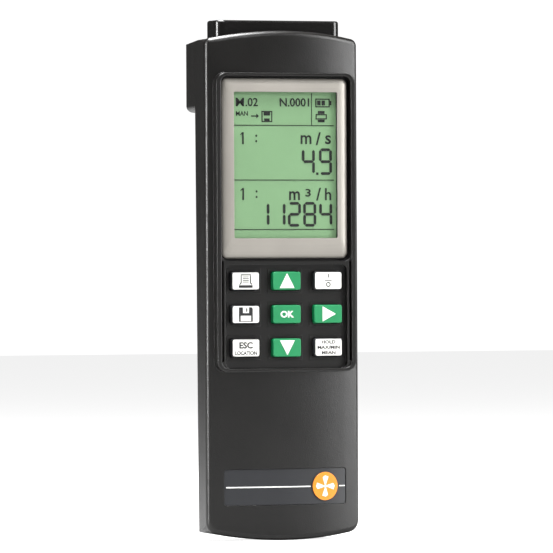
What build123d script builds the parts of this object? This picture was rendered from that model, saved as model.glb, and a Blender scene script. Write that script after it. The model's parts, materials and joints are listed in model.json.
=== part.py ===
from build123d import *
from math import cos, radians, sin, sqrt, tan
import os

# Handheld climate meter: the display and keypad unit that takes the vane probe.
# Millimetres. +X is the user's right, the display faces -Y, +Z runs up the handset.
# The origin is under the middle of the standing handset.

# ---------------------------------------------------------------- driving sizes
width = 68.0
height = 215.0
depth = 47.0
half_width = width / 2
front_y = -depth / 2          # crest of the raised ridge round display and keys
back_y = depth / 2            # back of the hump

# Case
wall = 2.0
seam_y = -16.3                # joint plane between front and rear shell
crown_y = front_y + 0.8       # highest line of the crowned front face
crown_radius = 150.0
case_top = 210.6              # top of the bowed upper end
end_bow = 3.5                 # fall of both bowed ends at the full width
top_corner = 3.0
bottom_corner = 5.0
front_edge_round = 2.2
rear_setback = 0.35           # rear shell stands this much inside the front shell
side_draft = 9.0              # degrees
grip_back_low = 0.6           # back of the grip at the bottom end
grip_back_high = 4.0          # back of the grip below the hump
grip_round = 4.5
hump_low = 177.5
hump_joint_y = 4.2            # plane where the hump meets the grip part of the rear moulding
hump_top_front = 207.6
hump_top_back = 205.5
hump_corner = 9.5
hump_round = 2.8
groove_height = 0.7           # groove in the rear shell along the joint
groove_depth = 0.5

# Ridge, display pocket and keypad recess
ridge_width = 62.2
ridge_low = 69.7
ridge_high = 193.1
ridge_corner = 4.4
ridge_crest = 1.25            # width of the flat crest
inside_width = 58.2           # inside the ridge
inside_low = ridge_low + ridge_crest
inside_high = ridge_high - ridge_crest
inside_corner = 3.2
display_low = 115.4           # foot of the display pocket
pocket_floor_y = front_y + 4.4
keypad_floor_y = front_y + 2.7
plate_back_y = -17.1
keypad_back_y = -19.0
recess_width = 54.4
recess_high = 114.0
recess_corner = 2.6
moat = 1.0
ridge_edge_round = 0.35

# Display
bezel_width = 56.2
bezel_low = 116.5
bezel_high = 190.9
bezel_corner = 2.4
bezel_flank = 4.3             # width of the rounded flank, seen from the front
bezel_steps = 7
bezel_outer_y = front_y + 2.9
bezel_inner_y = front_y + 0.8
view_width = 46.3
view_low = 124.8
view_high = 185.2
window_front_y = -22.3
window_back_y = -21.1
window_margin = 1.4
glass_front_y = -20.9
glass_back_y = -18.9
glass_width = 48.8
glass_low = 123.0
glass_high = 187.0
opening_gap = 0.4
holder_floor_y = -16.0
strip_places = (124.7, 185.3)

# Keys
key_width = 12.3
key_height = 7.45
key_corner = 0.9
key_pitch_x = 18.5
key_rows = (107.2, 93.4, 79.6)
key_front_y = front_y + 0.3
key_gap = 0.25
key_edge_round = 0.3
key_names = ("print", "up", "power", "store", "ok", "right", "escape", "down", "hold")
flange_margin = 0.75
flange_front_y = -18.9
flange_back_y = -18.1
stem_radius = 2.0
stem_back_y = -15.2

# Main board
board_front_y = -14.0
board_back_y = -12.4
board_width = 57.0
board_low = 66.5
board_high = 192.8
board_screw_places = [(x, z) for x in (-26.9, 26.9) for z in (68.6, 116.2, 190.6)]
board_screw_radius = 0.9
board_boss_radius = 1.7
boss_foot_y = -18.5
screw_slack = 0.05
board_chips = (
    (0, 150, 14, 14, 1.6),
    (14, 130, 9, 6, 1.4),
    (-14, 132, 7, 7, 1.2),
    (4, 104, 11, 4.5, 3.4),
    (-12, 92, 6, 5, 1.1),
)
mat_front_y = -15.0
key_places = [(x, z) for z in key_rows for x in (-key_pitch_x, 0, key_pitch_x)]

# Case screws, put in from the back
case_screw_places = [(x, z) for x, z in ((-25.6, 61.6), (25.6, 61.6), (-22.0, 196.6), (22.0, 196.6))]
case_screw_radius = 1.4
case_screw_head = 2.7
case_screw_seat_y = -5.0
case_screw_tip_y = -17.5
front_boss_radius = 3.0
rear_boss_radius = 4.2
boss_joint_y = -12.0

# Battery and its door
battery_width = 26.5
battery_thick = 17.2
battery_height = 46.5
battery_low = 7.0
battery_back_y = -1.9
door_half_width = 19.8
door_top = 72.0
door_thick = 1.8
door_gap = 0.15
tongue_reach = 1.2
tongue_thick = 0.9

stud_height = 2.5

# Label field with its round badge, and the blank plate on the back
label_width = 54.6
label_low = 14.6
label_high = 29.6
label_corner = 1.2
label_depth = 0.6
label_gap = 0.2
badge_x = 17.3
badge_radius = 5.85
badge_rise = 0.15
rating_half_width = 19.0
rating_low = 92.0
rating_high = 138.0

# Connector head
head_width = 55.6
head_front_y = seam_y + 0.2
head_back_y = -2.5
head_corner = 3.6
head_low = 201.6
head_flange_top = 203.4
socket_x = 14.5
socket_y = -9.3
socket_bore = 4.8
socket_outer = 5.8
socket_depth = 9.0
insulator_low = 203.0
head_gap = 0.15
pin_radius = 0.5
lamp_radius = 2.5
lamp_window_width = 9.0
lamp_window_height = 6.0
lamp_window_thick = 1.2
ring_places = [(2.6 * cos(radians(a)), 2.6 * sin(radians(a))) for a in (45, 135, 225, 315)]

# Sockets in the right side of the hump
side_socket_z = 186.0
data_y = 9.5
data_radius = 5.0
data_bore = 3.4
data_face_x = 28.2
jack_y = -2.5
jack_radius = 3.8
jack_bore = 1.8
jack_face_x = 30.4
side_board_x = 15.2
board_thick = 1.6
data_pins = [(-1.5, -1.5), (1.5, -1.5), (-1.5, 1.5), (1.5, 1.5)]


# ---------------------------------------------------------------- helpers
def front_plane(y):
    """Plane at depth y facing the user: local y is +Z, and extruding goes towards -Y."""
    return Plane.XZ.offset(-y)


def plate(size_x, z_low, z_high, y_front, y_back, radius=0.0, x=0.0, mode=Mode.ADD):
    """A flat plate parallel to the display, with rounded corners, in the current part."""
    with BuildSketch(front_plane(y_back)) as face:
        with Locations((x, (z_low + z_high) / 2)):
            if radius > 0:
                RectangleRounded(size_x, z_high - z_low, radius)
            else:
                Rectangle(size_x, z_high - z_low)
    extrude(face.sketch, amount=y_back - y_front, mode=mode)


def rods(places, radius, y_front, y_back, mode=Mode.ADD):
    """Round bars along Y at the given (x, z) places, in the current part."""
    with BuildSketch(front_plane(y_back)) as face:
        with Locations(*places):
            Circle(radius)
    extrude(face.sketch, amount=y_back - y_front, mode=mode)


def posts(places, radius, z_low, z_high, mode=Mode.ADD):
    """Round bars along Z at the given (x, y) places, in the current part."""
    with BuildSketch(Plane.XY.offset(z_low)) as face:
        with Locations(*places):
            Circle(radius)
    extrude(face.sketch, amount=z_high - z_low, mode=mode)


def side_rod(y, radius, x_low, x_high, mode=Mode.ADD):
    """A round bar along X at the height of the side sockets, in the current part."""
    with BuildSketch(Plane.YZ.offset(x_low)) as face:
        with Locations((y, side_socket_z)):
            Circle(radius)
    extrude(face.sketch, amount=x_high - x_low, mode=mode)


def save(builder, name):
    """Label a finished piece and write it."""
    builder.part.label = name
    export_step(builder.part, "parts/" + name + ".step")


def crown_drop(x):
    """How far the crowned face falls back at x."""
    return crown_radius - sqrt(crown_radius ** 2 - x ** 2)


def crown_region(inset):
    """Everything behind the crowned face moved in by inset, as a profile across the case."""
    reach = half_width + 2
    apex = crown_y + inset
    edge = apex + crown_drop(reach)
    with BuildSketch() as region:
        with BuildLine():
            ThreePointArc((-reach, edge), (0, apex), (reach, edge))
            Polyline((reach, edge), (reach, back_y), (-reach, back_y), (-reach, edge))
        make_face()
    return region.sketch


def crown_solid(inset):
    """Everything behind the crowned face moved in by inset, as a tall solid."""
    with BuildPart() as solid:
        extrude(crown_region(inset), amount=height)
    return solid.part


def case_outline(y, inset):
    """The case seen from the front: straight sides, bowed ends, rounded corners."""
    side = half_width - inset
    top = case_top - inset
    bottom = inset
    with BuildSketch(front_plane(y)) as outline:
        with BuildLine():
            ThreePointArc((-side, top - end_bow), (0, top), (side, top - end_bow))
            Line((side, top - end_bow), (side, bottom + end_bow))
            ThreePointArc((side, bottom + end_bow), (0, bottom), (-side, bottom + end_bow))
            Line((-side, bottom + end_bow), (-side, top - end_bow))
        make_face()
        fillet(outline.vertices().group_by(Axis.Y)[-1], top_corner)
        fillet(outline.vertices().group_by(Axis.Y)[0], bottom_corner)
    return outline.sketch


def rear_half_width(y):
    """Half width of the drafted rear shell at depth y."""
    return half_width - rear_setback - (y - seam_y) * tan(radians(side_draft))


def grip_back(z):
    """Depth of the grip's sloping back at height z."""
    return grip_back_low + (grip_back_high - grip_back_low) * z / hump_low


def rear_section(y_back, inset):
    """Drafted section across the rear shell, from the seam back to y_back."""
    front_side = rear_half_width(seam_y) - inset
    back_side = rear_half_width(y_back) - inset
    return Polyline(
        (-front_side, seam_y), (front_side, seam_y), (back_side, y_back), (-back_side, y_back), close=True
    )


def rear_volume(inset):
    """The rear half of the case as a closed solid, its outer faces moved in by inset."""
    low = grip_back(0) - inset
    high = grip_back(height) - inset
    top_front = hump_top_front - inset
    top_back = hump_top_back - inset
    with BuildPart() as volume:
        with BuildSketch():
            with BuildLine():
                rear_section(high, inset)
            make_face()
        extrude(amount=height)
        with BuildSketch(Plane.YZ):
            with BuildLine():
                Polyline((seam_y, 0), (low, 0), (high, height), (seam_y, height), close=True)
            make_face()
        extrude(amount=half_width, both=True, mode=Mode.INTERSECT)
        back = volume.faces().sort_by(Axis.Y)[-1]
        fillet(back.edges().filter_by(Axis.X, reverse=True), grip_round - inset)
        extrude(case_outline(back_y, rear_setback + inset), amount=depth, mode=Mode.INTERSECT)
        add(hump_volume(inset))
        with BuildSketch(Plane.YZ):
            with BuildLine():
                Polyline(
                    (seam_y - 1, -1),
                    (back_y + 1, -1),
                    (back_y + 1, top_back),
                    (seam_y - 1, top_front),
                    close=True,
                )
            make_face()
        extrude(amount=half_width, both=True, mode=Mode.INTERSECT)
    return volume.part


def hump_volume(inset):
    """The deep hump at the top of the back, its outer faces moved in by inset."""
    with BuildPart() as hump:
        with BuildSketch(Plane.XY.offset(hump_low + inset)) as section:
            with BuildLine():
                rear_section(back_y - inset, inset)
            make_face()
            fillet(section.vertices().group_by(Axis.Y)[-1], hump_corner - inset)
        extrude(amount=hump_top_front - hump_low)
        bottom = hump.faces().sort_by(Axis.Z)[0]
        fillet(bottom.edges().filter_by(lambda e: e.center().Y > seam_y + 1), max(hump_round - inset, 0.8))
        extrude(case_outline(back_y, rear_setback + inset), amount=depth, mode=Mode.INTERSECT)
    return hump.part


def back_slab(half, z_low, z_high, depth_outer, depth_inner):
    """A slab parallel to the grip's sloping back, between two depths under its surface."""
    with BuildPart() as slab:
        with BuildSketch(Plane.YZ):
            with BuildLine():
                Polyline(
                    (grip_back(z_low) - depth_inner, z_low),
                    (grip_back(z_low) - depth_outer, z_low),
                    (grip_back(z_high) - depth_outer, z_high),
                    (grip_back(z_high) - depth_inner, z_high),
                    close=True,
                )
            make_face()
        extrude(amount=half, both=True)
    return slab.part


def bezel_step(step):
    """Depth and inset of one step up the bezel's rounded flank, along a quarter of an ellipse."""
    turn = radians(90 * step / bezel_steps)
    y = bezel_outer_y + (bezel_inner_y - bezel_outer_y) * sin(turn)
    return y, bezel_flank * (1 - cos(turn))


def bezel_section(y, inset):
    """Outline of the pillowed bezel at depth y, drawn in from its outer edge by inset on each side."""
    low = bezel_low + inset * (view_low - bezel_low) / bezel_side
    high = bezel_high - inset * (bezel_high - view_high) / bezel_side
    with BuildSketch(front_plane(y)) as section:
        with Locations((0, (low + high) / 2)):
            RectangleRounded(bezel_width - 2 * inset, high - low, bezel_corner)
    return section.sketch


# ---------------------------------------------------------------- front shell
with BuildPart() as front_cavity:
    extrude(case_outline(seam_y, wall), amount=seam_y - crown_y)
    add(crown_solid(wall), mode=Mode.INTERSECT)

with BuildPart() as label_recess:
    plate(label_width, label_low, label_high, front_y, seam_y, label_corner)
    add(crown_solid(label_depth), mode=Mode.SUBTRACT)

with BuildPart() as front_shell:
    extrude(case_outline(seam_y, 0), amount=seam_y - crown_y)
    add(crown_solid(0), mode=Mode.INTERSECT)
    fillet(front_shell.faces().sort_by(Axis.Y)[0].edges(), front_edge_round)
    add(front_cavity.part, mode=Mode.SUBTRACT)
    plate(ridge_width, ridge_low, ridge_high, front_y, plate_back_y, ridge_corner)
    # Inside the ridge: a shallow step, the display pocket, the keypad recess and its side moats
    plate(inside_width, inside_low, inside_high, front_y, crown_y, inside_corner, mode=Mode.SUBTRACT)
    plate(inside_width, display_low, inside_high, front_y, pocket_floor_y, inside_corner, mode=Mode.SUBTRACT)
    plate(recess_width, inside_low, recess_high, front_y, keypad_floor_y, recess_corner, mode=Mode.SUBTRACT)
    for side in (-1, 1):
        moat_x = side * (inside_width - moat) / 2
        plate(moat, inside_low + 3, display_low, front_y, keypad_floor_y, x=moat_x, mode=Mode.SUBTRACT)
    fillet(front_shell.faces().sort_by(Axis.Y)[0].edges(), ridge_edge_round)
    # Room behind the keypad floor for the key flanges
    plate(inside_width, inside_low, recess_high, keypad_back_y, seam_y, recess_corner, mode=Mode.SUBTRACT)
    # Window for the display stack
    glass_opening = glass_width + 2 * opening_gap
    opening_low = glass_low - opening_gap
    opening_high = glass_high + opening_gap
    plate(glass_opening, opening_low, opening_high, front_y, seam_y, mode=Mode.SUBTRACT)
    for key_x, key_z in key_places:
        low = key_z - key_height / 2 - key_gap
        high = key_z + key_height / 2 + key_gap
        opening = key_width + 2 * key_gap
        plate(opening, low, high, front_y, seam_y, key_corner, key_x, Mode.SUBTRACT)
    # Bosses for the main board and for the case screws
    rods(board_screw_places, board_boss_radius, boss_foot_y, board_front_y)
    rods(board_screw_places, board_screw_radius + screw_slack, boss_foot_y + 1, board_front_y, Mode.SUBTRACT)
    rods(case_screw_places, front_boss_radius, case_screw_tip_y - 1.6, boss_joint_y)
    pilot_radius = case_screw_radius + screw_slack
    rods(case_screw_places, pilot_radius, case_screw_tip_y - 0.4, boss_joint_y, Mode.SUBTRACT)
    add(label_recess.part, mode=Mode.SUBTRACT)
save(front_shell, "front_shell")

# ---------------------------------------------------------------- rear shell
rear_outer = rear_volume(0)

with BuildPart() as rear_bosses:
    rods(case_screw_places, rear_boss_radius, boss_joint_y, back_y)
    # Webs that tie the upper screw bosses to the side walls
    for web_x in (-28.0, 28.0):
        plate(8.0, 196.0, 197.2, boss_joint_y, hump_joint_y + 6, x=web_x)
    # Two pairs of ribs that hold the side socket board
    for rib_x in (side_board_x - 0.6 - head_gap, side_board_x + board_thick + 0.6 + head_gap):
        with BuildSketch(Plane.XY.offset(side_socket_z - 5.5)):
            with Locations((rib_x, back_y - 4)):
                Rectangle(1.2, 6)
        extrude(amount=11)
    add(back_slab(door_half_width + 4, 0, door_top + 3, door_thick, door_thick + 2))
    add(rear_outer, mode=Mode.INTERSECT)

with BuildPart() as seam_groove:
    extrude(case_outline(seam_y + groove_height, -1), amount=groove_height)
    groove_inset = rear_setback + groove_depth
    extrude(case_outline(seam_y + groove_height, groove_inset), amount=groove_height, mode=Mode.SUBTRACT)

with BuildPart() as rear_moulding:
    add(rear_outer)
    add(rear_volume(wall), mode=Mode.SUBTRACT)
    add(rear_bosses.part)
    add(seam_groove.part, mode=Mode.SUBTRACT)
    rods(case_screw_places, case_screw_radius + 0.2, boss_joint_y, back_y, Mode.SUBTRACT)
    rods(case_screw_places, case_screw_head + 0.2, case_screw_seat_y, back_y, Mode.SUBTRACT)
    # Slot for the battery door with a groove for its tongues, and the battery opening under it
    slot_depth = door_thick + door_gap
    add(back_slab(door_half_width + door_gap, -1, door_top + door_gap, -2, slot_depth), mode=Mode.SUBTRACT)
    groove_half = door_half_width + tongue_reach + door_gap
    groove_roof = door_thick - tongue_thick - door_gap
    add(back_slab(groove_half, -1, door_top - 1 + door_gap, groove_roof, slot_depth), mode=Mode.SUBTRACT)
    add(back_slab(battery_width / 2 + 1.5, 5.5, door_top - 5, -2, 6), mode=Mode.SUBTRACT)
    add(back_slab(rating_half_width + 0.2, rating_low - 0.2, rating_high + 0.2, -2, 0.3), mode=Mode.SUBTRACT)
    # Opening for the connector head, and the two round holes in the side of the hump
    with BuildSketch(Plane.XY.offset(head_low - 0.4)):
        with Locations((0, (seam_y - 1 + head_back_y + head_gap) / 2)):
            Rectangle(head_width + 2 * head_gap, head_back_y + head_gap - seam_y + 1)
    extrude(amount=height - head_low, mode=Mode.SUBTRACT)
    side_rod(data_y, data_radius + head_gap, 20, half_width, Mode.SUBTRACT)
    side_rod(jack_y, jack_radius + head_gap, 20, half_width, Mode.SUBTRACT)

# The moulding is kept as two simple pieces that meet in a plane just behind the grip
hump_joint = front_plane(hump_joint_y)
with BuildPart() as rear_shell:
    add(rear_moulding.part)
    split(bisect_by=hump_joint, keep=Keep.TOP)
save(rear_shell, "rear_shell")

with BuildPart() as rear_hump:
    add(rear_moulding.part)
    split(bisect_by=hump_joint, keep=Keep.BOTTOM)
save(rear_hump, "rear_hump")

# ---------------------------------------------------------------- battery door
with BuildPart() as battery_door:
    add(back_slab(door_half_width, -1, door_top, -2, door_thick))
    add(back_slab(door_half_width + tongue_reach, -1, door_top - 1, door_thick - tongue_thick, door_thick))
    add(rear_outer, mode=Mode.INTERSECT)
    for rib in range(5):
        rib_low = door_top - 16 + 2.4 * rib
        add(back_slab(7, rib_low, rib_low + 1.2, -1, 0.5), mode=Mode.SUBTRACT)
save(battery_door, "battery_door")

# ---------------------------------------------------------------- connector head
head_middle_y = (head_front_y + head_back_y) / 2
socket_places = [(-socket_x, socket_y), (socket_x, socket_y)]
with BuildPart() as connector_head:
    with BuildSketch(Plane.XY.offset(head_low)):
        with Locations((0, head_middle_y)):
            RectangleRounded(head_width, head_back_y - head_front_y, head_corner)
    extrude(amount=height - head_low)
    fillet(connector_head.faces().sort_by(Axis.Z)[-1].edges(), 1.0)
    with BuildSketch(Plane.XY.offset(head_low)):
        with Locations((0, head_middle_y + 0.6)):
            Rectangle(head_width + 2.4, head_back_y - head_front_y + 1.2)
    extrude(amount=head_flange_top - head_low)
    posts(socket_places, socket_outer, head_low, height, Mode.SUBTRACT)
    posts([(0, socket_y)], lamp_radius + 0.1, head_low, height, Mode.SUBTRACT)
    with BuildSketch(Plane.XY.offset(height - lamp_window_thick)):
        with Locations((0, socket_y)):
            RectangleRounded(lamp_window_width, lamp_window_height, 1.0)
    extrude(amount=lamp_window_thick, mode=Mode.SUBTRACT)
save(connector_head, "connector_head")

for side, place in zip(("left", "right"), socket_places):
    with BuildPart() as sleeve:
        posts([place], socket_outer, height - socket_depth, height)
        posts([place], socket_bore, height - socket_depth, height, Mode.SUBTRACT)
    save(sleeve, "probe_socket_" + side)

pin_places = [(x + px, y + py) for x, y in socket_places for px, py in ring_places]
with BuildPart() as socket_insulators:
    posts(socket_places, socket_outer, insulator_low, height - socket_depth)
    posts(pin_places, pin_radius, insulator_low, height - socket_depth, Mode.SUBTRACT)
save(socket_insulators, "socket_insulators")

with BuildPart() as socket_contacts:
    posts(pin_places, pin_radius, insulator_low - 2, height - socket_depth)
save(socket_contacts, "socket_contacts")

with BuildPart() as infrared_window:
    with BuildSketch(Plane.XY.offset(height - lamp_window_thick)):
        with Locations((0, socket_y)):
            RectangleRounded(lamp_window_width, lamp_window_height, 1.0)
    extrude(amount=lamp_window_thick)
save(infrared_window, "infrared_window")

with BuildPart() as infrared_emitter:
    posts([(0, socket_y)], lamp_radius, head_low + 3, height - 3.2)
    fillet(infrared_emitter.faces().sort_by(Axis.Z)[-1].edges(), lamp_radius - 0.2)
save(infrared_emitter, "infrared_emitter")

# ---------------------------------------------------------------- display stack
bezel_side = (bezel_width - view_width) / 2
with BuildPart() as display_bezel:
    plate(bezel_width, bezel_low, bezel_high, bezel_outer_y, pocket_floor_y, bezel_corner)
    crest = [bezel_step(step) for step in range(bezel_steps + 1)]
    for outer, inner in zip(crest, crest[1:]):
        loft([bezel_section(*outer), bezel_section(*inner)], ruled=True)
    plate(view_width, view_low, view_high, front_y, seam_y, 0.6, mode=Mode.SUBTRACT)
    window_width = view_width + 2 * window_margin
    window_low = view_low - window_margin
    window_high = view_high + window_margin
    plate(window_width, window_low, window_high, window_front_y, seam_y, mode=Mode.SUBTRACT)
    plate(glass_opening, opening_low, opening_high, window_back_y, seam_y, mode=Mode.SUBTRACT)
save(display_bezel, "display_bezel")

with BuildPart() as display_window:
    plate(window_width - 0.1, window_low + 0.05, window_high - 0.05, window_front_y, window_back_y)
save(display_window, "display_window")

with BuildPart() as display_gasket:
    plate(glass_width - 0.2, glass_low + 0.1, glass_high - 0.1, window_back_y, glass_front_y)
    rim_low = view_low - 0.15
    rim_high = view_high + 0.15
    plate(view_width + 0.3, rim_low, rim_high, window_back_y, glass_front_y, mode=Mode.SUBTRACT)
save(display_gasket, "display_gasket")

with BuildPart() as lcd_panel:
    plate(glass_width, glass_low, glass_high, glass_front_y, glass_back_y)
save(lcd_panel, "lcd_panel")

with BuildPart() as light_guide:
    plate(45.0, 127.0, 183.0, glass_back_y, holder_floor_y, 0.8)
save(light_guide, "light_guide")

with BuildPart() as lcd_holder:
    plate(50.0, 119.0, 189.0, -17.0, board_front_y, 1.0)
    plate(glass_width, glass_low, glass_high, glass_back_y, -17.0)
    plate(45.4, 126.8, 183.2, glass_back_y, holder_floor_y, 1.0, mode=Mode.SUBTRACT)
    for strip_z in strip_places:
        plate(42.0, strip_z - 1.1, strip_z + 1.1, glass_back_y, board_front_y, mode=Mode.SUBTRACT)
save(lcd_holder, "lcd_holder")

with BuildPart() as zebra_strips:
    for strip_z in strip_places:
        plate(40.0, strip_z - 0.8, strip_z + 0.8, glass_back_y, board_front_y)
save(zebra_strips, "zebra_strips")

# ---------------------------------------------------------------- keypad
for (key_x, key_z), name in zip(key_places, key_names):
    with BuildPart() as key:
        low = key_z - key_height / 2
        high = key_z + key_height / 2
        plate(key_width, low, high, key_front_y, flange_front_y, key_corner, key_x)
        fillet(key.faces().sort_by(Axis.Y)[0].edges(), key_edge_round)
        flange_width = key_width + 2 * flange_margin
        low -= flange_margin
        high += flange_margin
        plate(flange_width, low, high, flange_front_y, flange_back_y, 0.6, key_x)
        rods([(key_x, key_z)], stem_radius, flange_back_y, stem_back_y)
    save(key, "key_" + name)

with BuildPart() as keypad_mat:
    plate(50.8, inside_low + 0.8, recess_high - 0.5, mat_front_y, board_front_y, 1.0)
    rods(key_places, stem_radius + 1.2, mat_front_y, board_front_y, Mode.SUBTRACT)
save(keypad_mat, "keypad_mat")

with BuildPart() as contact_pads:
    rods(key_places, stem_radius + 0.2, board_front_y - 0.1, board_front_y)
save(contact_pads, "contact_pads")

# ---------------------------------------------------------------- electronics
with BuildPart() as main_board:
    plate(board_width, board_low, board_high, board_front_y, board_back_y, 1.0)
    rods(board_screw_places, board_screw_radius + 0.2, board_front_y, board_back_y, Mode.SUBTRACT)
save(main_board, "main_board")

with BuildPart() as board_components:
    for chip_x, chip_z, chip_width, chip_height, chip_tall in board_chips:
        chip_back_y = board_back_y + chip_tall
        chip_low = chip_z - chip_height / 2
        plate(chip_width, chip_low, chip_low + chip_height, board_back_y, chip_back_y, x=chip_x)
    rods([(-18, 176), (-10, 176), (20, 100)], 2.5, board_back_y, board_back_y + 5)
save(board_components, "board_components")

with BuildPart() as board_screws:
    rods(board_screw_places, board_screw_radius, boss_foot_y + 1.2, board_back_y)
    rods(board_screw_places, 1.8, board_back_y, board_back_y + 1.2)
save(board_screws, "board_screws")

with BuildPart() as case_screws:
    rods(case_screw_places, case_screw_radius, case_screw_tip_y, case_screw_seat_y)
    rods(case_screw_places, case_screw_head, case_screw_seat_y, case_screw_seat_y + 2)
    for screw_x, screw_z in case_screw_places:
        for slot_width, slot_half in ((3.0, 0.35), (0.7, 1.5)):
            low = screw_z - slot_half
            high = screw_z + slot_half
            plate(slot_width, low, high, case_screw_seat_y + 1, back_y, x=screw_x, mode=Mode.SUBTRACT)
save(case_screws, "case_screws")

# Sockets for data and mains adapter on a small upright board
with BuildPart() as side_board:
    with BuildSketch(Plane.YZ.offset(side_board_x)):
        with Locations((6.7, side_socket_z)):
            Rectangle(29.4, 11)
    extrude(amount=board_thick)
save(side_board, "side_board")

socket_foot_x = side_board_x + board_thick
with BuildPart() as data_socket:
    side_rod(data_y, data_radius, socket_foot_x, data_face_x)
    side_rod(data_y, data_bore, data_face_x - 7, data_face_x, Mode.SUBTRACT)
    with BuildSketch(Plane.YZ.offset(socket_foot_x)):
        with Locations((data_y, side_socket_z)):
            with Locations(*data_pins):
                Circle(0.4)
    extrude(amount=data_face_x - 7 - socket_foot_x, mode=Mode.SUBTRACT)
save(data_socket, "data_socket")

with BuildPart() as data_contacts:
    with BuildSketch(Plane.YZ.offset(socket_foot_x)):
        with Locations((data_y, side_socket_z)):
            with Locations(*data_pins):
                Circle(0.4)
    extrude(amount=data_face_x - 7 - socket_foot_x)
save(data_contacts, "data_contacts")

with BuildPart() as adapter_jack:
    side_rod(jack_y, jack_radius, socket_foot_x, jack_face_x)
    side_rod(jack_y, jack_bore, jack_face_x - 12, jack_face_x, Mode.SUBTRACT)
save(adapter_jack, "adapter_jack")

# ---------------------------------------------------------------- battery
battery_high = battery_low + battery_height
battery_middle_y = battery_back_y - battery_thick / 2
with BuildPart() as battery:
    with BuildSketch(Plane.XY.offset(battery_low)):
        with Locations((0, battery_middle_y)):
            RectangleRounded(battery_width, battery_thick, 2.0)
    extrude(amount=battery_height)
    posts([(-6.35, battery_middle_y)], 3.2, battery_high, battery_high + stud_height)
    posts([(6.35, battery_middle_y)], 3.9, battery_high, battery_high + stud_height)
save(battery, "battery")

carrier_low = battery_high + stud_height
with BuildPart() as battery_carrier:
    with BuildSketch(Plane.XY.offset(carrier_low)):
        with Locations((0, battery_middle_y)):
            Rectangle(25, 9)
    extrude(amount=1.4)
save(battery_carrier, "battery_carrier")

with BuildPart() as battery_contacts:
    for contact_x in (-8, 8):
        plate(2.5, carrier_low + 1.4, board_low + 5, board_back_y, board_back_y + 0.4, x=contact_x)
save(battery_contacts, "battery_contacts")

with BuildPart() as battery_pad:
    battery_front_y = battery_back_y - battery_thick
    plate(16.0, battery_low + 8, battery_low + 38, battery_front_y - 1.3, battery_front_y, 1.0)
save(battery_pad, "battery_pad")

# ---------------------------------------------------------------- labels
with BuildPart() as name_plate:
    plate(label_width - label_gap, label_low + 0.1, label_high - 0.1, front_y, seam_y, label_corner)
    add(crown_solid(0.25), mode=Mode.INTERSECT)
    add(crown_solid(label_depth), mode=Mode.SUBTRACT)
save(name_plate, "name_plate")

with BuildPart() as badge:
    rods([(badge_x, (label_low + label_high) / 2)], badge_radius, front_y, seam_y)
    add(crown_solid(-badge_rise), mode=Mode.INTERSECT)
    add(crown_solid(0.25), mode=Mode.SUBTRACT)
save(badge, "badge")

with BuildPart() as rating_plate:
    add(back_slab(rating_half_width, rating_low, rating_high, 0.05, 0.3))
save(rating_plate, "rating_plate")
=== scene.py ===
import json
from math import cos, pi, radians, sin, sqrt

import bpy
from mathutils import Matrix, Vector


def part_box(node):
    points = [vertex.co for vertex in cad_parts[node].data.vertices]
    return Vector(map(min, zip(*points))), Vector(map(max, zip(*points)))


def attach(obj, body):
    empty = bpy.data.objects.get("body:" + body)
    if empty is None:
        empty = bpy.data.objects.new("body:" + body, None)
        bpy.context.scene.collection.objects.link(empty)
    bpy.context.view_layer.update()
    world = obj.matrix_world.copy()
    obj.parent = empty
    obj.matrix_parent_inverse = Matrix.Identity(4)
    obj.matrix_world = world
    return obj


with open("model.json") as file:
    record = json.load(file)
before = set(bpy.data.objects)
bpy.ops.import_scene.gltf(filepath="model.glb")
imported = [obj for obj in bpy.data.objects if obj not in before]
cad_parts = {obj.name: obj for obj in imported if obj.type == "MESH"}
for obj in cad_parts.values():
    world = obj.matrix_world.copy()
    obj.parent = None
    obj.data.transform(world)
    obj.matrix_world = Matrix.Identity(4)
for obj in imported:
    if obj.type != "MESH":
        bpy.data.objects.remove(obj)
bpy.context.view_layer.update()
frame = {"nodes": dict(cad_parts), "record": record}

# Looks for the handheld climate meter. Metres, in the CAD model's frame: the display faces -Y, +Z is up.
MM = 0.001
NODES = frame["nodes"]
BODY = "case"
CROWN_RADIUS = 150.0          # mm, the crown across the front face


# ---------------------------------------------------------------- materials
def linear(red, green, blue):
    """An sRGB colour in 0..255 as the linear colour that shaders take."""
    return tuple((c / 255) ** 2.2 for c in (red, green, blue)) + (1.0,)


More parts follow.
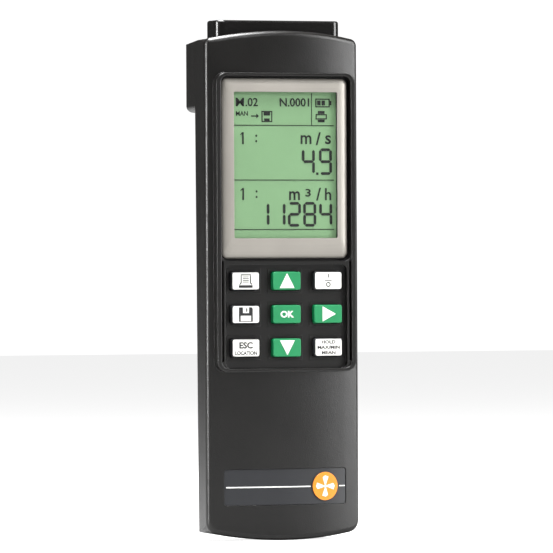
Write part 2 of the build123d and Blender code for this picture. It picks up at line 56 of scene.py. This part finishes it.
def finish_material(name, colour, roughness, grain=900.0, bump=0.1, vary=0.12,
                    metallic=0.0, coat=0.0, edge=0.25):
    """A moulded or lacquered surface: soft tone variation, fine grain and slightly rounded edges."""
    material = bpy.data.materials.new(name)
    material.use_nodes = True
    nodes = material.node_tree.nodes
    links = material.node_tree.links
    shader = nodes["Principled BSDF"]
    shader.inputs["Metallic"].default_value = metallic
    shader.inputs["Coat Weight"].default_value = coat
    shader.inputs["Coat Roughness"].default_value = 0.12
    place = nodes.new("ShaderNodeTexCoord")
    tone = nodes.new("ShaderNodeTexNoise")
    tone.inputs["Scale"].default_value = 55.0
    tone.inputs["Detail"].default_value = 5.0
    links.new(place.outputs["Object"], tone.inputs["Vector"])
    ramp = nodes.new("ShaderNodeValToRGB")
    ramp.color_ramp.elements[0].position = 0.35
    ramp.color_ramp.elements[1].position = 0.68
    ramp.color_ramp.elements[0].color = tuple(c * (1 - vary) for c in colour[:3]) + (1.0,)
    ramp.color_ramp.elements[1].color = tuple(min(1.0, c * (1 + vary)) for c in colour[:3]) + (1.0,)
    links.new(tone.outputs["Fac"], ramp.inputs["Fac"])
    links.new(ramp.outputs["Color"], shader.inputs["Base Color"])
    spread = nodes.new("ShaderNodeMapRange")
    spread.inputs["To Min"].default_value = roughness * 0.88
    spread.inputs["To Max"].default_value = roughness * 1.12
    links.new(tone.outputs["Fac"], spread.inputs["Value"])
    links.new(spread.outputs["Result"], shader.inputs["Roughness"])
    fine = nodes.new("ShaderNodeTexNoise")
    fine.inputs["Scale"].default_value = grain
    fine.inputs["Detail"].default_value = 3.0
    links.new(place.outputs["Object"], fine.inputs["Vector"])
    relief = nodes.new("ShaderNodeBump")
    relief.inputs["Strength"].default_value = bump
    relief.inputs["Distance"].default_value = 0.0002
    links.new(fine.outputs["Fac"], relief.inputs["Height"])
    if edge > 0:
        round_edge = nodes.new("ShaderNodeBevel")
        round_edge.samples = 6
        round_edge.inputs["Radius"].default_value = edge * MM
        links.new(round_edge.outputs["Normal"], relief.inputs["Normal"])
    links.new(relief.outputs["Normal"], shader.inputs["Normal"])
    return material


def window_material():
    """Clear display window: nearly invisible, with a faint reflection."""
    material = finish_material("clear_window", (0.02, 0.02, 0.02, 1), 0.05, bump=0.0, edge=0)
    material.node_tree.nodes["Principled BSDF"].inputs["Alpha"].default_value = 0.07
    return material


case_look = finish_material("case_plastic", linear(20, 19, 18), 0.31,
                            grain=2300, bump=0.26, vary=0.14, edge=0.3)
head_look = finish_material("head_plastic", linear(16, 15, 14), 0.24, bump=0.02, coat=0.3)
bezel_look = finish_material("silver_lacquer", linear(150, 146, 139), 0.4,
                             grain=3200, bump=0.1, vary=0.04, metallic=0.3)
lcd_look = finish_material("lcd_green", linear(124, 163, 119), 0.55, grain=4000, bump=0.04, vary=0.03, edge=0)
ink_look = finish_material("lcd_ink", linear(10, 20, 14), 0.6, vary=0.05, edge=0)
key_dark_look = finish_material("key_dark", linear(44, 45, 48), 0.5, bump=0.14)
key_top_look = finish_material("key_print_white", linear(244, 244, 238), 0.55,
                               grain=2200, bump=0.1, vary=0.03)
key_green_look = finish_material("key_green", linear(20, 128, 78), 0.45, grain=2200, bump=0.1, vary=0.06)
black_print_look = finish_material("black_print", linear(26, 26, 28), 0.5, vary=0.05, edge=0)
white_print_look = finish_material("white_print", linear(235, 236, 232), 0.5, vary=0.03, edge=0)
label_look = finish_material("label_film", linear(40, 41, 44), 0.34, grain=1800, bump=0.06, vary=0.06)
badge_look = finish_material("badge_orange", linear(238, 140, 28), 0.3, bump=0.03, vary=0.05, coat=0.3)
steel_look = finish_material("zinc_steel", linear(176, 176, 178), 0.32, metallic=1.0, bump=0.05)
nickel_look = finish_material("nickel", linear(190, 188, 182), 0.22, metallic=1.0, bump=0.02)
gold_look = finish_material("gold_plate", linear(214, 172, 92), 0.28, metallic=1.0, bump=0.02)
black_look = finish_material("black_moulding", linear(30, 30, 31), 0.5, bump=0.1)
foam_look = finish_material("foam", linear(48, 48, 50), 0.9, grain=1400, bump=0.5)
mat_look = finish_material("silicone_mat", linear(66, 67, 70), 0.6)
board_look = finish_material("solder_resist", linear(22, 92, 52), 0.38, grain=700, bump=0.08)
guide_look = finish_material("light_guide", linear(214, 220, 212), 0.2, bump=0.03)
holder_look = finish_material("white_moulding", linear(206, 206, 200), 0.5)
filter_look = finish_material("infrared_filter", linear(42, 12, 20), 0.08, bump=0.0, vary=0.08, coat=0.5)
battery_look = finish_material("battery_jacket", linear(92, 98, 108), 0.3, metallic=0.6, bump=0.03)
rating_look = finish_material("rating_film", linear(150, 151, 152), 0.38, grain=1800, bump=0.05, vary=0.04)

LOOKS = {
    "case": case_look,
    "head": head_look,
    "bezel": bezel_look,
    "window": window_material(),
    "lcd": lcd_look,
    "guide": guide_look,
    "white_plastic": holder_look,
    "black_plastic": black_look,
    "foam": foam_look,
    "mat": mat_look,
    "key_white": key_dark_look,
    "key_green": key_green_look,
    "gold": gold_look,
    "steel": steel_look,
    "socket_metal": nickel_look,
    "circuit_board": board_look,
    "chip": black_look,
    "dark_window": filter_look,
    "battery_jacket": battery_look,
    "label": label_look,
    "badge": badge_look,
    "rating": rating_look,
}
slot_of = {part["node"]: part["material_slot"] for part in frame["record"]["subparts"]}
for node_name, node in NODES.items():
    for material_slot in node.material_slots:
        material_slot.material = LOOKS[slot_of[node_name]]


# ---------------------------------------------------------------- flat print and inlay
def on_plane(y):
    """A surface parallel to the display at y mm."""
    return lambda x: y


def on_crown(x_zero_y):
    """The crowned face whose highest line is at x_zero_y mm."""
    return lambda x: x_zero_y + CROWN_RADIUS - sqrt(CROWN_RADIUS ** 2 - x * x)


def printed(name, shapes, surface, rise, body, look):
    """Thin closed prisms from outlines in (x, z) mm, standing rise mm proud of a surface."""
    verts = []
    faces = []
    for shape in shapes:
        first = len(verts)
        count = len(shape)
        verts += [(x * MM, (surface(x) - rise) * MM, z * MM) for x, z in shape]
        verts += [(x * MM, (surface(x) + 0.01) * MM, z * MM) for x, z in shape]
        faces.append([first + i for i in range(count)])
        faces.append([first + count + i for i in reversed(range(count))])
        for i in range(count):
            j = (i + 1) % count
            faces.append([first + j, first + i, first + count + i, first + count + j])
    return made_piece(name, verts, faces, body, look)


def made_piece(name, verts, faces, body, look):
    """A mesh object with one material that rides on a body."""
    mesh = bpy.data.meshes.new(name)
    mesh.from_pydata(verts, [], faces)
    mesh.materials.append(look)
    mesh.validate()
    piece = bpy.data.objects.new(name, mesh)
    bpy.context.scene.collection.objects.link(piece)
    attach(piece, body)
    return piece


def lettering(name, lines, surface, rise, body, look, bold=0.012):
    """Generic words as thin raised print. Each line is (words, x, z of its middle, height mm, width mm)."""
    verts = []
    faces = []
    for words, x_left, z_middle, high, wide in lines:
        curve = bpy.data.curves.new(name + "_text", "FONT")
        curve.body = words
        curve.size = 1.0
        curve.resolution_u = 3
        curve.extrude = 0.5
        curve.offset = bold
        holder = bpy.data.objects.new(name + "_text", curve)
        bpy.context.scene.collection.objects.link(holder)
        bpy.context.view_layer.update()
        shape = bpy.data.meshes.new_from_object(holder.evaluated_get(bpy.context.evaluated_depsgraph_get()))
        xs = [v.co.x for v in shape.vertices]
        ys = [v.co.y for v in shape.vertices]
        scale_x = wide / (max(xs) - min(xs))
        scale_y = high / (max(ys) - min(ys))
        first = len(verts)
        for v in shape.vertices:
            x = x_left + (v.co.x - min(xs)) * scale_x
            z = z_middle + (v.co.y - (max(ys) + min(ys)) / 2) * scale_y
            out = rise if v.co.z > 0 else -0.01
            verts.append((x * MM, (surface(x) - out) * MM, z * MM))
        faces += [[first + i for i in p.vertices] for p in shape.polygons]
        bpy.data.objects.remove(holder)
        bpy.data.meshes.remove(shape)
        bpy.data.curves.remove(curve)
    return made_piece(name, verts, faces, body, look)


def rect(x_low, z_low, x_high, z_high):
    """A rectangle's outline."""
    return [(x_low, z_low), (x_high, z_low), (x_high, z_high), (x_low, z_high)]


def rounded(x, z, wide, high, radius, steps=4):
    """A rounded rectangle's outline about (x, z)."""
    outline = []
    for corner, (sx, sz) in enumerate(((1, -1), (1, 1), (-1, 1), (-1, -1))):
        for step in range(steps + 1):
            angle = (corner - 1) * pi / 2 + step * pi / 2 / steps
            corner_x = x + sx * (wide / 2 - radius)
            corner_z = z + sz * (high / 2 - radius)
            outline.append((corner_x + radius * cos(angle), corner_z + radius * sin(angle)))
    return outline


def round_ring(x, z, outer, inner, steps=48):
    """A ring as a chain of four-sided outlines."""
    shapes = []
    for i in range(steps):
        a = 2 * pi * i / steps
        b = 2 * pi * (i + 1) / steps
        shapes.append(
            [
                (x + inner * cos(a), z + inner * sin(a)),
                (x + outer * cos(a), z + outer * sin(a)),
                (x + outer * cos(b), z + outer * sin(b)),
                (x + inner * cos(b), z + inner * sin(b)),
            ]
        )
    return shapes


def frame_ring(x, z, wide, high, band):
    """A rectangular frame as four bars."""
    left, right, low, top = x - wide / 2, x + wide / 2, z - high / 2, z + high / 2
    return [
        rect(left, low, right, low + band),
        rect(left, top - band, right, top),
        rect(left, low + band, left + band, top - band),
        rect(right - band, low + band, right, top - band),
    ]


# ---------------------------------------------------------------- display content
lcd_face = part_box("lcd_panel")[0].y / MM
INK_RISE = 0.12
SEGMENTS = {
    "1": "bc", "2": "abged", "3": "abgcd", "4": "fgbc", "5": "afgcd",
    "6": "afgedc", "7": "abc", "8": "abcdefg", "9": "abcdfg", "0": "abcdef",
}


def digit(char, x, z, wide, high, stroke):
    """Seven-segment digit with its lower left corner at (x, z)."""
    gap = stroke * 0.1
    half = stroke / 2
    middle = z + high / 2
    right = x + wide
    top = z + high

    def flat(z_line):
        return [
            (x + half + gap, z_line),
            (x + stroke + gap, z_line - half),
            (right - stroke - gap, z_line - half),
            (right - half - gap, z_line),
            (right - stroke - gap, z_line + half),
            (x + stroke + gap, z_line + half),
        ]

    def upright(x_line, low, high_end):
        return [
            (x_line, low + gap),
            (x_line + half, low + half + gap),
            (x_line + half, high_end - half - gap),
            (x_line, high_end - gap),
            (x_line - half, high_end - half - gap),
            (x_line - half, low + half + gap),
        ]

    parts = {
        "a": flat(top - half),
        "g": flat(middle),
        "d": flat(z + half),
        "b": upright(right - half, middle, top - half),
        "c": upright(right - half, z + half, middle),
        "f": upright(x + half, middle, top - half),
        "e": upright(x + half, z + half, middle),
    }
    return [parts[name] for name in SEGMENTS[char]]


def digits(text, x_list, z, wide, high, stroke):
    """A row of digits at the given left edges."""
    shapes = []
    for char, x in zip(text, x_list):
        shapes += digit(char, x, z, wide, high, stroke)
    return shapes


RULE = 0.32
ink = [
    rect(-23.0, 171.3, 22.2, 171.3 + RULE),
    rect(-23.0, 148.7, 22.2, 148.7 + RULE),
    rect(-23.0, 128.3, 22.2, 128.3 + RULE),
    rect(12.2, 171.6, 12.2 + RULE, 184.8),
]
ink += digits("49", (7.9, 15.6), 151.0, 5.8, 11.0, 1.15)
ink += digits("11284", (-12.6, -5.4, 1.5, 8.4, 15.6), 129.6, 5.8, 10.2, 1.15)
ink += [rect(14.3, 151.0, 15.3, 152.0)]
for row_z in (163.6, 140.6):
    ink += [rect(-18.8, row_z, -18.1, row_z + 5.0),
            [(-19.9, row_z + 3.7), (-18.8, row_z + 4.2), (-18.8, row_z + 5.0)]]
# Battery, store and print symbols, and the small arrow
ink += frame_ring(17.3, 180.8, 6.4, 3.6, 0.45)
ink += [rect(20.6, 179.9, 21.3, 181.7), rect(14.9, 179.8, 16.4, 181.8), rect(16.9, 179.8, 18.4, 181.8)]
ink += frame_ring(-7.7, 175.1, 4.8, 4.6, 0.45)
ink += [rect(-9.1, 175.5, -6.3, 177.0), rect(-8.9, 173.2, -6.5, 174.3)]
ink += frame_ring(16.7, 175.1, 5.0, 2.2, 0.45)
ink += [rect(15.2, 176.3, 18.2, 177.5), rect(15.2, 172.8, 18.2, 173.9)]
ink += [rect(-14.8, 175.0, -12.4, 175.5), [(-12.4, 174.3), (-11.3, 175.25), (-12.4, 176.2)]]
printed("lcd_segments", ink, on_plane(lcd_face), INK_RISE, BODY, ink_look)

lcd_words = [
    ("M", -21.5, 181.0, 3.5, 3.6),
    (".02", -17.2, 181.0, 3.5, 5.5),
    ("N.0001", -1.9, 181.0, 3.5, 13.2),
    ("MAN", -21.5, 176.3, 1.9, 5.3),
    (":", -12.9, 166.0, 3.2, 0.8),
    ("m", 7.4, 165.6, 3.7, 4.8),
    ("/", 14.2, 166.0, 5.3, 2.2),
    ("s", 18.4, 165.6, 3.7, 2.6),
    (":", -12.9, 143.0, 3.2, 0.8),
    ("m", 2.1, 142.4, 3.7, 4.8),
    ("3", 9.4, 143.6, 3.2, 2.4),
    ("/", 14.2, 143.0, 5.3, 2.2),
    ("h", 18.2, 143.0, 5.0, 2.8),
]
lettering("lcd_characters", lcd_words, on_plane(lcd_face), INK_RISE, BODY, ink_look)


# ---------------------------------------------------------------- keys
def key_middle(name):
    """Middle of a key's printed top, with the depth of its face, in mm."""
    low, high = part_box("key_" + name)
    return (low.x + high.x) / 2 / MM, (low.z + high.z) / 2 / MM, low.y / MM


def moved(shapes, x, z):
    """Outlines shifted to a key's middle."""
    return [[(px + x, pz + z) for px, pz in shape] for shape in shapes]


TOP_RISE = 0.06
PRINT_RISE = 0.1
key_symbols = {
    "print": [
        [(-3.1, -2.8), (3.1, -2.8), (3.1, -1.7), (-3.1, -1.7)],
        [(-3.1, -1.5), (-2.3, -0.6), (-2.3, 2.2), (-1.8, 2.2), (-1.8, -0.9), (-2.4, -1.5)],
        [(3.1, -1.5), (2.4, -1.5), (1.9, -0.9), (1.9, 2.2), (2.4, 2.2), (2.4, -0.6)],
        rect(-2.3, 2.3, 2.4, 2.8),
    ]
    + [rect(-1.3, z, 1.4, z + 0.35) for z in (-0.6, 0.1, 0.8, 1.5)],
    "up": [[(-3.3, -3.0), (3.3, -3.0), (0, 3.1)]],
    "down": [[(-3.3, 3.0), (0, -3.1), (3.3, 3.0)]],
    "right": [[(-2.6, -3.1), (3.3, 0), (-2.6, 3.1)]],
    "store": [
        rect(-3.1, -3.0, -2.3, 3.0),
        [(2.3, -3.0), (3.1, -3.0), (3.1, 2.4), (2.5, 3.0), (2.3, 3.0)],
        rect(-2.3, -0.5, 2.3, 0.6),
        rect(-2.3, 0.6, -1.3, 3.0),
        rect(1.4, 0.6, 2.3, 3.0),
        rect(0.1, 1.1, 0.7, 2.6),
        rect(-2.3, -3.0, 2.3, -2.7),
    ],
    "power": [rect(-0.2, 1.2, 0.25, 2.9), rect(-1.6, -0.05, 1.6, 0.35)] + round_ring(0, -1.6, 1.05, 0.6, 20),
}
key_words = {
    "ok": [("OK", -3.0, 0.0, 2.8, 6.0)],
    "escape": [("ESC", -3.0, 1.1, 2.7, 6.0), ("LOCATION", -4.9, -2.1, 1.6, 9.8)],
    "hold": [("HOLD", -3.1, 2.2, 1.45, 6.2), ("MAX/MIN", -5.0, 0.0, 1.45, 10.0),
             ("MEAN", -3.1, -2.2, 1.45, 6.2)],
}
for name in ("print", "up", "power", "store", "ok", "right", "escape", "down", "hold"):
    key_x, key_z, key_y = key_middle(name)
    body = "key_" + name
    green = slot_of[body] == "key_green"
    print_look = white_print_look if green else black_print_look
    if not green:
        top = rounded(key_x, key_z, 11.7, 6.85, 0.75)
        printed(body + "_top", [top], on_plane(key_y), TOP_RISE, body, key_top_look)
    if name in key_symbols:
        shapes = moved(key_symbols[name], key_x, key_z)
        printed(body + "_symbol", shapes, on_plane(key_y), PRINT_RISE, body, print_look)
    if name in key_words:
        lines = [(w, key_x + x, key_z + z, high, wide) for w, x, z, high, wide in key_words[name]]
        lettering(body + "_words", lines, on_plane(key_y), PRINT_RISE, body, print_look,
                  bold=0.035)

# Faint raised frame moulded round each key
keypad_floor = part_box("key_ok")[0].y / MM + 2.4
outlines = []
for name in ("print", "up", "power", "store", "ok", "right", "escape", "down", "hold"):
    key_x, key_z, key_y = key_middle(name)
    outlines += frame_ring(key_x, key_z, 15.2, 10.4, 0.35)
printed("keypad_outlines", outlines, on_plane(keypad_floor), 0.14, BODY, case_look)

# ---------------------------------------------------------------- label
plate_low, plate_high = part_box("name_plate")
plate_crown = plate_low.y / MM
plate_z = (plate_low.z + plate_high.z) / 2 / MM
badge_low, badge_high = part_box("badge")
badge_x = (badge_low.x + badge_high.x) / 2 / MM
badge_radius = (badge_high.x - badge_low.x) / 2 / MM
badge_crown = plate_crown - 0.4


def strip(x_low, x_high, z_low, z_high, pieces):
    """A long bar cut into short ones, so that it follows the crown."""
    step = (x_high - x_low) / pieces
    return [rect(x_low + i * step, z_low, x_low + (i + 1) * step, z_high) for i in range(pieces)]


line = strip(-26.4, badge_x - badge_radius - 0.9, plate_z - 0.25, plate_z + 0.25, 18)
line += strip(badge_x + badge_radius + 0.9, 26.9, plate_z - 0.25, plate_z + 0.25, 3)
printed("label_line", line, on_crown(plate_crown), 0.05, BODY, white_print_look)
ring = round_ring(badge_x, plate_z, badge_radius + 0.5, badge_radius + 0.02)
printed("badge_ring", ring, on_crown(plate_crown), 0.2, BODY, black_print_look)
# Plain four-blade fan on the badge
fan = []
for blade in range(4):
    turn = blade * pi / 2
    outline = [(0.9, -0.35), (3.9, -1.5), (4.4, 0.1), (3.7, 1.2), (0.9, 0.45)]
    fan.append(
        [(badge_x + x * cos(turn) - z * sin(turn),
          plate_z + x * sin(turn) + z * cos(turn)) for x, z in outline]
    )
fan.append([(badge_x + 0.7 * cos(pi * i / 8), plate_z + 0.7 * sin(pi * i / 8)) for i in range(16)])
printed("badge_symbol", fan, on_crown(badge_crown), 0.05, BODY, white_print_look)

# ---------------------------------------------------------------- floor, lights and camera
FLOOR_SIZE = 12.0
half = FLOOR_SIZE / 2
floor_mesh = bpy.data.meshes.new("floor")
floor_corners = [(-half, -half, 0), (half, -half, 0), (half, half, 0), (-half, half, 0)]
floor_mesh.from_pydata(floor_corners, [], [[0, 1, 2, 3]])
floor_look = finish_material("floor", (0.35, 0.35, 0.35, 1), 0.8, grain=60, bump=0.0, vary=0.01, edge=0)
floor_shader = floor_look.node_tree.nodes["Principled BSDF"]
floor_shader.inputs["Specular IOR Level"].default_value = 0.0
floor_shader.inputs["Emission Color"].default_value = (1.0, 1.0, 1.0, 1.0)
floor_ray = floor_look.node_tree.nodes.new("ShaderNodeLightPath")
floor_glow = floor_look.node_tree.nodes.new("ShaderNodeMath")
floor_glow.operation = "MULTIPLY"
floor_glow.inputs[1].default_value = 0.85
floor_look.node_tree.links.new(floor_ray.outputs["Is Camera Ray"], floor_glow.inputs[0])
floor_look.node_tree.links.new(floor_glow.outputs["Value"], floor_shader.inputs["Emission Strength"])
floor_mesh.materials.append(floor_look)
floor = bpy.data.objects.new("floor", floor_mesh)
bpy.context.scene.collection.objects.link(floor)

world = bpy.data.worlds.new("studio")
world.use_nodes = True
world_nodes = world.node_tree.nodes
backdrop = world_nodes["Background"]
backdrop.inputs["Color"].default_value = (1.0, 1.0, 1.0, 1.0)
backdrop.inputs["Strength"].default_value = 1.05
dim = world_nodes.new("ShaderNodeBackground")
dim.inputs["Color"].default_value = (1.0, 1.0, 1.0, 1.0)
dim.inputs["Strength"].default_value = 0.07
rays = world_nodes.new("ShaderNodeLightPath")
chooser = world_nodes.new("ShaderNodeMixShader")
world.node_tree.links.new(rays.outputs["Is Camera Ray"], chooser.inputs["Fac"])
world.node_tree.links.new(dim.outputs["Background"], chooser.inputs[1])
world.node_tree.links.new(backdrop.outputs["Background"], chooser.inputs[2])
world.node_tree.links.new(chooser.outputs["Shader"], world_nodes["World Output"].inputs["Surface"])
bpy.context.scene.world = world
bpy.context.scene.view_settings.view_transform = "Standard"

MIDDLE = Vector((0, 0, 0.109))


def softbox(name, place, wide, high, power):
    """A rectangular light aimed at the middle of the handset."""
    light = bpy.data.lights.new(name, "AREA")
    light.shape = "RECTANGLE"
    light.size = wide
    light.size_y = high
    light.energy = power
    lamp = bpy.data.objects.new(name, light)
    lamp.location = place
    lamp.rotation_euler = (MIDDLE - Vector(place)).to_track_quat("-Z", "Y").to_euler()
    bpy.context.scene.collection.objects.link(lamp)
    return lamp


softbox("key_light", (1.0, -0.67, 0.5), 0.5, 1.1, 19)
softbox("fill_light", (0.1, -2.3, 1.7), 0.9, 0.9, 12)
softbox("edge_light", (-1.17, -0.05, 0.15), 0.12, 1.1, 26)
softbox("top_light", (-0.1, 0.0, 1.35), 1.1, 0.6, 80)

AZIMUTH = radians(-22.7)
ROLL = radians(-0.3)
DISTANCE = 2.68
SIDE_SHIFT = 0.0046
right = Vector((cos(AZIMUTH), sin(AZIMUTH), 0))
back = Vector((sin(AZIMUTH), -cos(AZIMUTH), 0))
camera_data = bpy.data.cameras.new("camera")
camera_data.lens = 419
camera_data.sensor_width = 36
camera = bpy.data.objects.new("camera", camera_data)
aim = MIDDLE + right * SIDE_SHIFT
turned = Matrix((right, Vector((0, 0, 1)), back)).transposed().to_4x4()
camera.matrix_world = Matrix.Translation(aim + back * DISTANCE) @ turned @ Matrix.Rotation(ROLL, 4, "Z")
bpy.context.scene.collection.objects.link(camera)
bpy.context.scene.camera = camera
